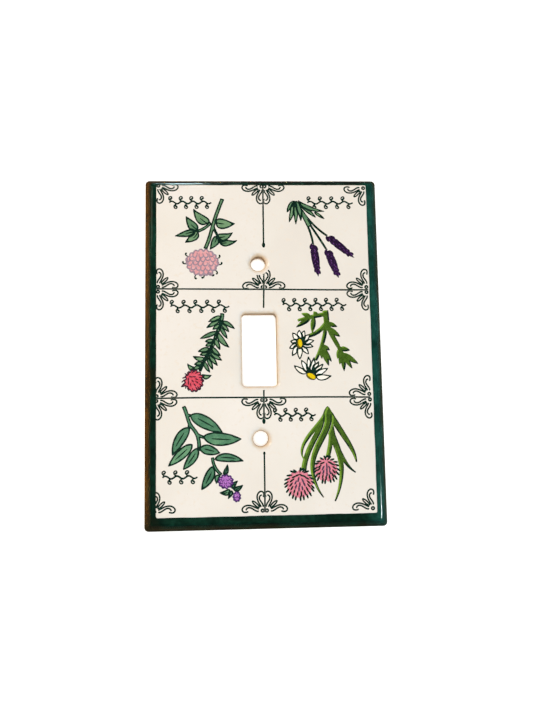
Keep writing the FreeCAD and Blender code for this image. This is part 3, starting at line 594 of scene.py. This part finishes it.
def make_face_glaze():
    """Ivory glaze: a flat sheet whose openings roll down over the clay and thin away."""
    area = top_areas("ivory_face_glaze")[0]
    mouths = [resample(loop, 0.35) for loop in area[1:]]
    area = [resample(area[0], 0.8)] + mouths
    left, low = area[0].min(axis=0)
    right, high = area[0].max(axis=0)
    grid = np.stack(np.meshgrid(np.arange(left, right, GLAZE_GRID),
                                np.arange(low, high, GLAZE_GRID), indexing="ij"), axis=-1)
    grid = grid.reshape(-1, 2)
    inset = offset(area[0], 0.3)
    spots, faces = triangles(area, np.concatenate([grid[measure(grid, area) > 1.0],
                                                   inset[measure(inset, area) > 0.25]]))
    pile = Pile()
    count = len(spots)
    vertices = [(x * MM, y * MM, GLAZE_TOP * MM) for x, y in spots]
    vertices += [(x * MM, y * MM, CLAY_TOP * MM) for x, y in spots]
    solid = list(faces) + [tuple(count + index for index in reversed(face)) for face in faces]
    outer = nearest(spots, area[0])
    for a, b in zip(outer, outer[1:] + outer[:1]):
        solid.append((b, a, count + a, count + b))
    for mouth in mouths:
        across = mouth.max(axis=0) - mouth.min(axis=0)
        round_hole = abs(across[0] - across[1]) < 0.5
        bend = HOLE_FLARE if round_hole else SLOT_ROUNDING
        outward = -offset(mouth, 1.0) + mouth
        before = nearest(spots, mouth)
        top_ring = before
        for reach, height in lip_profile(bend):
            start = len(vertices)
            moved = mouth + outward * reach
            vertices += [(x * MM, y * MM, height * MM) for x, y in moved]
            ring = list(range(start, start + len(mouth)))
            for k in range(len(mouth)):
                after = (k + 1) % len(mouth)
                solid.append((before[after], before[k], ring[k], ring[after]))
            before = ring
        for k in range(len(mouth)):
            after = (k + 1) % len(mouth)
            solid.append((before[after], before[k], count + top_ring[k], count + top_ring[after]))
    pile.add(vertices, solid)
    return build(pile, "face_glaze", MATERIALS["ivory"], ["ivory_face_glaze"])


def lip_profile(bend):
    """Steps of (reach into the opening, height) down a glazed lip, ending inside the clay."""
    thickness = GLAZE_TOP - CLAY_TOP
    centre = CLAY_TOP - bend
    steps = []
    for k in range(1, LIP_STEPS + 1):
        angle = math.radians(90 * k / LIP_STEPS)
        radius = bend + thickness * (1 - LIP_THINNING * k / LIP_STEPS)
        steps.append((radius * math.sin(angle), centre + radius * math.cos(angle)))
    steps.append((bend + 0.03, centre - 0.5))
    steps.append((bend + 0.015, centre - 0.95))
    steps.append((bend - 0.25, centre - 0.95))
    steps.append((bend * 0.4, centre - 0.2))
    return steps


def make_border_band():
    """The brushed inner edge of the green border, which wanders a little over the ivory."""
    panel = resample(top_areas("ivory_face_glaze")[0][0], 0.4)
    outer = offset(panel, -0.1)
    reach = 0.05 + 0.09 * wobble(panel, 17.0, 2.0) + 0.03 * wobble(panel, 4.3, 5.0)
    inner = offset(panel, 1.0) - panel
    inner = panel + inner * np.maximum(reach, -0.03)[:, None]
    pile = Pile()
    dome(pile, [outer, inner[::-1]], GLAZE_TOP, 0.035, 0.09)
    return build(pile, "border_band", MATERIALS["green"])


# Enamel pieces ----------------------------------------------------------------------------------
FILL_HEIGHT = 0.05
LINE_HEIGHT = 0.045
FILL_ROLL = 0.14
FINE = 0.17
STEP = 0.1
PEN_BASE = GLAZE_TOP + 0.03
MARK_BASE = GLAZE_TOP + 0.035


def evened(area):
    return [resample(loop, FINE) for loop in area]


def band(area, inner, outer, seed=0.0):
    """The strip along an area's outline that a pen of uneven pressure covers."""
    def rule(points, depth):
        limit = inner * (1 + 0.3 * wobble(points, 3.1, seed)).reshape(depth.shape)
        return np.minimum(depth + outer, limit - depth)
    return reshape(area, rule, STEP, FINE)


def shade_side(area, shift, wander, seed):
    """The part of an area that the same area moved by shift doesn't cover."""
    def rule(points, depth):
        uncovered = -shifted(depth, shift[0] / STEP, shift[1] / STEP)
        uneven = wander * (wobble(points, 5.0, seed) - 1).reshape(depth.shape)
        return np.minimum(depth + 0.02, uncovered + uneven)
    return reshape(area, rule, STEP, FINE)


def brush_mark(points, widths):
    """Loop round a stroke through a few points with a width at each."""
    points = np.array(points, float)
    count = 4 * len(points) + 5
    share = np.linspace(0, 1, len(points))
    fine = np.linspace(0, 1, count)
    line = np.column_stack([smooth(share, points[:, axis], fine) for axis in (0, 1)])
    width = np.maximum(np.interp(fine, share, widths), 0.03)
    tangent = np.gradient(line, axis=0)
    tangent /= np.maximum(np.hypot(tangent[:, 0], tangent[:, 1]), 1e-9)[:, None]
    across = np.column_stack([-tangent[:, 1], tangent[:, 0]]) * width[:, None] / 2
    start = line[0] - tangent[0] * widths[0] / 2
    end = line[-1] + tangent[-1] * widths[-1] / 2
    loop = np.vstack([start, line - across, end, (line + across)[::-1]])
    return loop if signed_area(loop) > 0 else loop[::-1]


def smooth(share, values, fine):
    """Polynomial through a few values, for short strokes."""
    degree = min(len(values) - 1, 3)
    return np.polyval(np.polyfit(share, values, degree), fine)


def mark(pile, points, widths, base=MARK_BASE):
    """One brush mark, as a low pad."""
    loop = resample(brush_mark(points, widths), 0.12)
    dome(pile, [loop], base, LINE_HEIGHT, max(min(widths) * 0.5, max(widths) * 0.35))


def inside_of(area, spot, margin):
    return measure(np.array([spot]), area)[0] > margin


def long_axis(loop):
    """Centre and direction of a loop's longest axis, and how far the loop reaches both ways."""
    centre = loop.mean(axis=0)
    vectors = np.linalg.eigh(np.cov((loop - centre).T)).eigenvectors
    direction = vectors[:, 1]
    along = (loop - centre) @ direction
    return centre, direction, along.min(), along.max()


def midrib(loop, foot_near, start, end):
    """Points along the middle of a leaf, from shares start to end of its length from its foot."""
    centre, direction, low, high = long_axis(loop)
    ends = [centre + direction * low, centre + direction * high]
    gaps = [np.hypot(*(foot_near - spot).T).min() for spot in ends]
    if gaps[1] < gaps[0]:
        direction, low, high = -direction, -high, -low
    across = np.array([-direction[1], direction[0]])
    along, side = (loop - centre) @ direction, (loop - centre) @ across
    points = []
    for share in np.linspace(start, end, 5):
        level = low + (high - low) * share
        near = np.abs(along - level) < (high - low) * 0.06 + 0.15
        middle = (side[near].max() + side[near].min()) / 2
        points.append(centre + direction * level + across * middle)
    return points


def plain_fill(node, name, material, tones=(0.5,), roll=FILL_ROLL, height=FILL_HEIGHT):
    """The enamel of one node, one tone per area in turn."""
    pile = Pile()
    areas = [evened(area) for area in top_areas(node)]
    for number, area in enumerate(areas):
        dome(pile, area, GLAZE_TOP, height, roll, tones[number % len(tones)])
    build(pile, name, MATERIALS[material], [node])
    return areas


def pen_lines(areas, width, seed, pile):
    """Lines along the outlines of painted areas, a quarter of their width outside them."""
    for number, area in enumerate(areas):
        for strip in band(area, width * 0.75, width * 0.25, seed + number):
            dome(pile, strip, PEN_BASE, LINE_HEIGHT, width * 0.4)


def grown(area, reach):
    """The same area, wider by reach all round."""
    return reshape(area, lambda points, depth: depth + reach, STEP, FINE)


def line_work(node, name, roll, reach):
    pile = Pile()
    for area in top_areas(node):
        for wider in grown(evened(area), reach):
            dome(pile, wider, GLAZE_TOP, 0.075, roll, spacing=2.0)
    build(pile, name, MATERIALS["ink"], [node])


MATERIALS["ivory"] = ivory_glaze()
MATERIALS["green"] = green_glaze()
MATERIALS["clay"] = bisque_clay()
CHIVES_FOOT_END = 25.0
RIBBED_LEAF = 3.0
ANTHERS = ((-24, -1), (4, -1), (62, 1), (97, -1), (124, 1), (148, -1), (172, 1), (196, 1))
LEAF_TONES = (0.35, 0.75, 0.5, 0.2, 0.6, 0.9, 0.4)


def finish_cad(node, material):
    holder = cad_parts[node]
    holder.data.materials.clear()
    holder.data.materials.append(material)
    for slot in holder.material_slots:
        slot.material = material


def make_basil():
    leaves = plain_fill("basil_leaves", "basil_leaf_enamel", "basil", LEAF_TONES)
    stems = plain_fill("basil_stem", "basil_stem_enamel", "basil", (0.3,), 0.1)
    feet = np.concatenate([loop for area in stems for loop in area])
    pen = Pile()
    pen_lines(leaves, 0.6, 3.0, pen)
    pen_lines(stems, 0.46, 5.0, pen)
    for area in leaves:
        if signed_area(area[0]) > RIBBED_LEAF:
            mark(pen, midrib(area[0], feet, 0.22, 0.72), (0.3, 0.5, 0.54, 0.46, 0.28))
    build(pen, "basil_pen_lines", MATERIALS["ink"])
    blossoms = plain_fill("basil_blossoms", "basil_blossom_enamel", "lilac")
    petals = Pile()
    pen_lines(blossoms, 0.5, 7.0, petals)
    for area in blossoms:
        petal_marks(petals, area, 1.3, 0.5, 0.4, 0.28, 11)
    build(petals, "basil_petal_lines", MATERIALS["dark_lilac"])


def petal_marks(pile, area, spacing, reach, breadth, width, seed):
    """Rows of petal outlines over a flower head, each open at its foot and turned outward."""
    draw = random.Random(seed)
    left, low = area[0].min(axis=0)
    right, high = area[0].max(axis=0)
    foot = np.array([(left + right) / 2, low - 0.2 * (high - low)])
    rows = int((high - low) / (spacing * 0.85)) + 1
    for row in range(rows):
        y = low + spacing * 0.85 * (row + 0.4)
        x = left + spacing * (0.5 if row % 2 else 0.0)
        while x < right:
            stray = 0.17 * spacing
            spot = np.array([x + draw.uniform(-stray, stray), y + draw.uniform(-stray, stray)])
            x += spacing
            if not inside_of(area, spot, breadth * 0.5):
                continue
            turn = math.atan2(*(spot - foot)[::-1]) + draw.uniform(-0.45, 0.45)
            along = np.array([math.cos(turn), math.sin(turn)]) * reach * draw.uniform(0.75, 1.1)
            across = np.array([-math.sin(turn), math.cos(turn)]) * breadth
            outline = [spot + along * math.cos(bend) + across * math.sin(bend)
                       for bend in (-2.2, -1.5, -0.75, 0.0, 0.75, 1.5, 2.2)]
            pressure = [width * share for share in (0.6, 0.9, 1.0, 1.1, 1.0, 0.9, 0.6)]
            mark(pile, outline, pressure)


def fan_dashes(inner, rim, area, spacing, length, width, seed, foot, cover):
    """Rings of brush dashes over a flower head, fanned out from a foot.

    The foot is given in half sizes of the head from its middle, and so is cover, how far out the
    last ring of dashes stands. Dashes near the middle go to one pile, the others to another.
    """
    draw = random.Random(seed)
    low, high = area[0].min(axis=0), area[0].max(axis=0)
    centre, half = (low + high) / 2, (high - low) / 2
    root = centre + half * np.array(foot)
    count = max(2, int(round(half.mean() * cover / spacing)))
    for ring in range(count + 1):
        share = cover * ring / count
        around = max(1, int(round(2 * math.pi * half.mean() * share / (spacing * 0.95))))
        for number in range(around):
            angle = 2 * math.pi * (number + 0.5 * (ring % 2)) / around + draw.uniform(-0.06, 0.06)
            spot = centre + half * share * np.array([math.cos(angle), math.sin(angle)])
            spot = spot + np.array([draw.uniform(-0.1, 0.1), draw.uniform(-0.1, 0.1)])
            out = spot - root
            far = np.hypot(*out)
            if far < 0.5:
                continue
            out = out / far * length * draw.uniform(0.75, 1.1) / 2
            mark(rim if share > 0.55 else inner, [spot - out, spot, spot + out],
                 (width * 0.6, width, width * 0.75))


def make_thyme():
    leaves = plain_fill("thyme_leaves", "thyme_leaf_enamel", "sage", LEAF_TONES)
    stems = plain_fill("thyme_stem", "thyme_stem_enamel", "sage", (0.3,), 0.1)
    feet = np.concatenate([loop for area in stems for loop in area])
    pen = Pile()
    pen_lines(leaves, 0.6, 13.0, pen)
    pen_lines(stems, 0.5, 15.0, pen)
    for area in leaves:
        if signed_area(area[0]) > RIBBED_LEAF:
            mark(pen, midrib(area[0], feet, 0.08, 0.46), (0.5, 0.54, 0.48, 0.4, 0.26))
    build(pen, "thyme_pen_lines", MATERIALS["ink"])
    heads = plain_fill("thyme_blossom", "thyme_blossom_enamel", "pale_pink")
    petals, anthers = Pile(), Pile()
    pen_lines(heads, 0.55, 17.0, petals)
    for area in heads:
        petal_marks(petals, area, 1.75, 1.15, 0.7, 0.52, 19)
        curled_anthers(anthers, area[0])
    build(petals, "thyme_petal_lines", MATERIALS["mauve"])
    build(anthers, "thyme_anthers", MATERIALS["ink"])


def curled_anthers(pile, outline):
    """Hooked anthers that stand out of the edge of a flower head, each with a heavier tip."""
    centre = outline.mean(axis=0)
    angles = np.arctan2(outline[:, 1] - centre[1], outline[:, 0] - centre[0])
    for degrees, curl in ANTHERS:
        angle = math.radians(degrees)
        gap = np.abs((angles - angle + math.pi) % (2 * math.pi) - math.pi)
        edge = outline[int(gap.argmin())]
        out = np.array([math.cos(angle), math.sin(angle)])
        side = np.array([-out[1], out[0]]) * curl
        points = [edge - out * 0.2, edge + out * 0.45, edge + out * 0.95 + side * 0.2,
                  edge + out * 1.05 + side * 0.75]
        mark(pile, points, (0.34, 0.42, 0.5, 0.72), GLAZE_TOP + 0.01)


def make_rosemary():
    needles = plain_fill("rosemary_needles", "rosemary_needle_enamel", "sage",
                         LEAF_TONES)
    stems = plain_fill("rosemary_stem", "rosemary_stem_enamel", "sage", (0.2,), 0.1)
    pen = Pile()
    pen_lines(needles, 0.5, 23.0, pen)
    pen_lines(stems, 0.5, 25.0, pen)
    build(pen, "rosemary_pen_lines", MATERIALS["ink"])
    heads = plain_fill("rosemary_blossom", "rosemary_blossom_enamel", "rose")
    petals = Pile()
    pen_lines(heads, 0.5, 27.0, petals)
    for area in heads:
        fan_dashes(petals, petals, area, 1.25, 1.2, 0.5, 29, (0.35, -0.4), 0.8)
    build(petals, "rosemary_petal_dashes", MATERIALS["dark_rose"])


def make_chives_foot(blades):
    """Green wedge under the blades' feet, where the strokes run together."""
    points = np.concatenate([area[0] for area in blades])
    apex = points[points[:, 1].argmin()]
    wedge = brush_mark([apex + (0.0, 0.3), apex + (0.0, 1.8), apex + (-0.1, 4.2)], (1.2, 2.9, 4.4))
    pile = Pile()
    dome(pile, [resample(wedge, FINE)], GLAZE_TOP, 0.03, FILL_ROLL)
    build(pile, "chives_foot_enamel", MATERIALS["olive"])


def make_chives():
    blades = plain_fill("chives_blades", "chives_blade_enamel", "olive",
                        (0.5, 0.35, 0.6))
    make_chives_foot(blades)
    pale, dark = Pile(), Pile()
    for number, area in enumerate(blades):
        for strip in shade_side(area, (-0.75, 0.15), 0.08, 31 + number):
            dome(pale, strip, PEN_BASE, 0.03, 0.2)
        for shift, seed, base in (((0.5, -0.15), 34, MARK_BASE), ((0.05, -0.95), 38, PEN_BASE)):
            for strip in shade_side(area, shift, 0.1, seed + number):
                if strip[0][:, 1].max() > CHIVES_FOOT_END:
                    dome(dark, strip, base, LINE_HEIGHT, 0.16, 0.4)
    build(pale, "chives_blade_light_edges", MATERIALS["light_olive"])
    build(dark, "chives_blade_ink_edges", MATERIALS["ink"])
    heads = plain_fill("chives_blossoms", "chives_blossom_enamel", "pink")
    rim, inner = Pile(), Pile()
    for number, area in enumerate(heads):
        fan_dashes(inner, rim, area, 1.35, 1.65, 0.72, 37 + number, (0.0, -0.7), 0.98)
    build(rim, "chives_blossom_dashes", MATERIALS["ink"])
    build(inner, "chives_inner_dashes", MATERIALS["plum"])


def make_chamomile():
    leaves = plain_fill("chamomile_leaves", "chamomile_leaf_enamel", "olive",
                        (0.55,))
    pale, dark = Pile(), Pile()
    for area in leaves:
        for strip in shade_side(area, (-0.4, 0.45), 0.05, 41.0):
            dome(pale, strip, PEN_BASE, 0.03, 0.15)
        for strip in shade_side(area, (0.6, -0.6), 0.05, 42.0):
            dome(dark, strip, MARK_BASE, LINE_HEIGHT, 0.16, 0.4)
    build(pale, "chamomile_leaf_light_edges", MATERIALS["light_olive"])
    build(dark, "chamomile_leaf_ink_edges", MATERIALS["ink"])
    petals = plain_fill("chamomile_petals", "chamomile_petal_enamel", "white",
                        (0.6, 0.9, 0.4))
    discs = plain_fill("chamomile_centres", "chamomile_disc_enamel", "yellow",
                       (0.5,), 0.5, 0.08)
    pen = Pile()
    pen_lines(petals, 0.48, 43.0, pen)
    pen_lines(discs, 0.24, 45.0, pen)
    build(pen, "chamomile_pen_lines", MATERIALS["ink"])
    pollen = Pile()
    for area in discs:
        for strip in shade_side(area, (-0.6, -0.5), 0.1, 46.0):
            dome(pollen, strip, GLAZE_TOP + 0.06, 0.03, 0.2, 0.5)
    build(pollen, "chamomile_disc_shade", MATERIALS["umber"])


def make_lavender():
    leaves = plain_fill("lavender_leaves", "lavender_leaf_enamel", "sage",
                        LEAF_TONES)
    stems = plain_fill("lavender_stems", "lavender_stem_enamel", "sage", (0.4,), 0.1)
    pen = Pile()
    pen_lines(leaves, 0.5, 53.0, pen)
    pen_lines(stems, 0.42, 55.0, pen)
    build(pen, "lavender_pen_lines", MATERIALS["ink"])
    spikes = plain_fill("lavender_spikes", "lavender_spike_enamel", "violet",
                        (0.4, 0.6, 0.5))
    flecks = Pile()
    for number, area in enumerate(spikes):
        spike_flecks(flecks, area, 57 + number)
    build(flecks, "lavender_flecks", MATERIALS["light_violet"])


def spike_flecks(pile, area, seed):
    """Lighter flecks in two rows up a flower spike, slanting outward like its florets."""
    draw = random.Random(seed)
    centre, along, low, high = long_axis(area[0])
    across = np.array([-along[1], along[0]])
    level, side = low + 0.8, 1
    while level < high - 0.6:
        spot = centre + along * level + across * side * draw.uniform(0.1, 0.6)
        lean = (along * 0.4 + across * side * draw.uniform(0.0, 0.3)) * draw.uniform(0.6, 1.1)
        if inside_of(area, spot, 0.25):
            mark(pile, [spot - lean, spot, spot + lean], (0.14, 0.32, 0.18))
        level += draw.uniform(0.55, 1.25)
        side = draw.choice((-side, -side, side))


# Studio -----------------------------------------------------------------------------------------
def soft_light(name, position, size, power, colour):
    """Square soft box aimed at the plate's centre."""
    lamp = bpy.data.lights.new(name, "AREA")
    lamp.shape = "SQUARE"
    lamp.size = size
    lamp.energy = power
    lamp.color = colour
    holder = bpy.data.objects.new(name, lamp)
    holder.location = position
    holder.rotation_euler = (-Vector(position)).to_track_quat("-Z", "Y").to_euler()
    bpy.context.scene.collection.objects.link(holder)
    return holder


def make_floor():
    floor_mesh = bpy.data.meshes.new("floor")
    half, drop = 1.5, -0.0002
    corners = [(-half, -half, drop), (half, -half, drop), (half, half, drop), (-half, half, drop)]
    floor_mesh.from_pydata(corners, [], [(0, 1, 2, 3)])
    floor = bpy.data.objects.new("floor", floor_mesh)
    paper = Recipe("pale_floor", Specular_IOR_Level=0.1, Roughness=0.9, Emission_Strength=0.42,
                   Emission_Color=(1.0, 1.0, 1.0, 1.0))
    tint = paper.ramp(paper.noise(0.004, 2.0), [(0.3, "FBFBFA"), (0.7, "FFFFFF")])
    floor_mesh.materials.append(paper.finish(tint))
    bpy.context.scene.collection.objects.link(floor)
    floor.visible_glossy = False


def make_world():
    """Even light, white behind the plate; low rays that mirror in the glaze meet darkness."""
    world = bpy.data.worlds.new("studio")
    world.use_nodes = True
    tree = world.node_tree
    background = tree.nodes["Background"]
    background.inputs["Color"].default_value = (0.95, 0.97, 1.0, 1.0)
    path = tree.nodes.new("ShaderNodeLightPath")
    strength = tree.nodes.new("ShaderNodeMapRange")
    strength.inputs["To Max"].default_value = 0.9
    tree.links.new(path.outputs["Is Camera Ray"], strength.inputs["Value"])
    direction = tree.nodes.new("ShaderNodeTexCoord").outputs["Generated"]
    rise = tree.nodes.new("ShaderNodeSeparateXYZ")
    tree.links.new(direction, rise.inputs[0])
    sky = tree.nodes.new("ShaderNodeMapRange")
    sky.inputs["From Min"].default_value = 0.15
    sky.inputs["From Max"].default_value = 0.75
    sky.inputs["To Min"].default_value = 0.05
    sky.inputs["To Max"].default_value = 0.25
    tree.links.new(rise.outputs["Z"], sky.inputs["Value"])
    unseen = tree.nodes.new("ShaderNodeMapRange")
    unseen.inputs["To Min"].default_value = 0.25
    tree.links.new(path.outputs["Is Glossy Ray"], unseen.inputs["Value"])
    tree.links.new(sky.outputs[0], unseen.inputs["To Max"])
    tree.links.new(unseen.outputs[0], strength.inputs["To Min"])
    tree.links.new(strength.outputs[0], background.inputs["Strength"])
    bpy.context.scene.world = world


def make_lights():
    """Soft boxes, and two small lamps that only light the rim's glaze."""
    rim = bpy.data.collections.new("rim_glaze")
    rim.objects.link(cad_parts["green_rim_glaze"])
    soft_light("overhead", (0.02, 0.05, 0.8), 0.25, 3.4, (1.0, 0.99, 0.97)).visible_glossy = False
    soft_light("warm_side", (0.5, -0.28, 0.4), 0.15, 2.6, (1.0, 0.82, 0.62))
    soft_light("cool_side", (-0.55, 0.3, 0.3), 0.2, 2.0, (0.82, 0.94, 1.0))
    glints = [soft_light("edge_glint", (0.07, -0.56, 0.18), 0.04, 12.0, (0.6, 0.92, 1.0)),
              soft_light("corner_glint", (-0.48, 0.133, 0.228), 0.05, 16.0, (0.85, 0.96, 1.0))]
    for glint in glints:
        glint.visible_diffuse = False
        glint.light_linking.receiver_collection = rim
    bpy.context.scene.view_settings.view_transform = "Standard"


place_camera()
make_floor()
make_world()
make_lights()
finish_cad("clay_body", MATERIALS["clay"])
finish_cad("green_rim_glaze", MATERIALS["green"])
make_face_glaze()
make_border_band()
line_work("ink_grid_lines", "grid_lines", 0.2, 0.04)
line_work("ink_corner_scrolls", "corner_scrolls", 0.18, 0.06)
line_work("pen_flourishes", "tendril_flourishes", 0.18, 0.03)
make_basil()
make_thyme()
make_rosemary()
make_chives()
make_chamomile()
make_lavender()
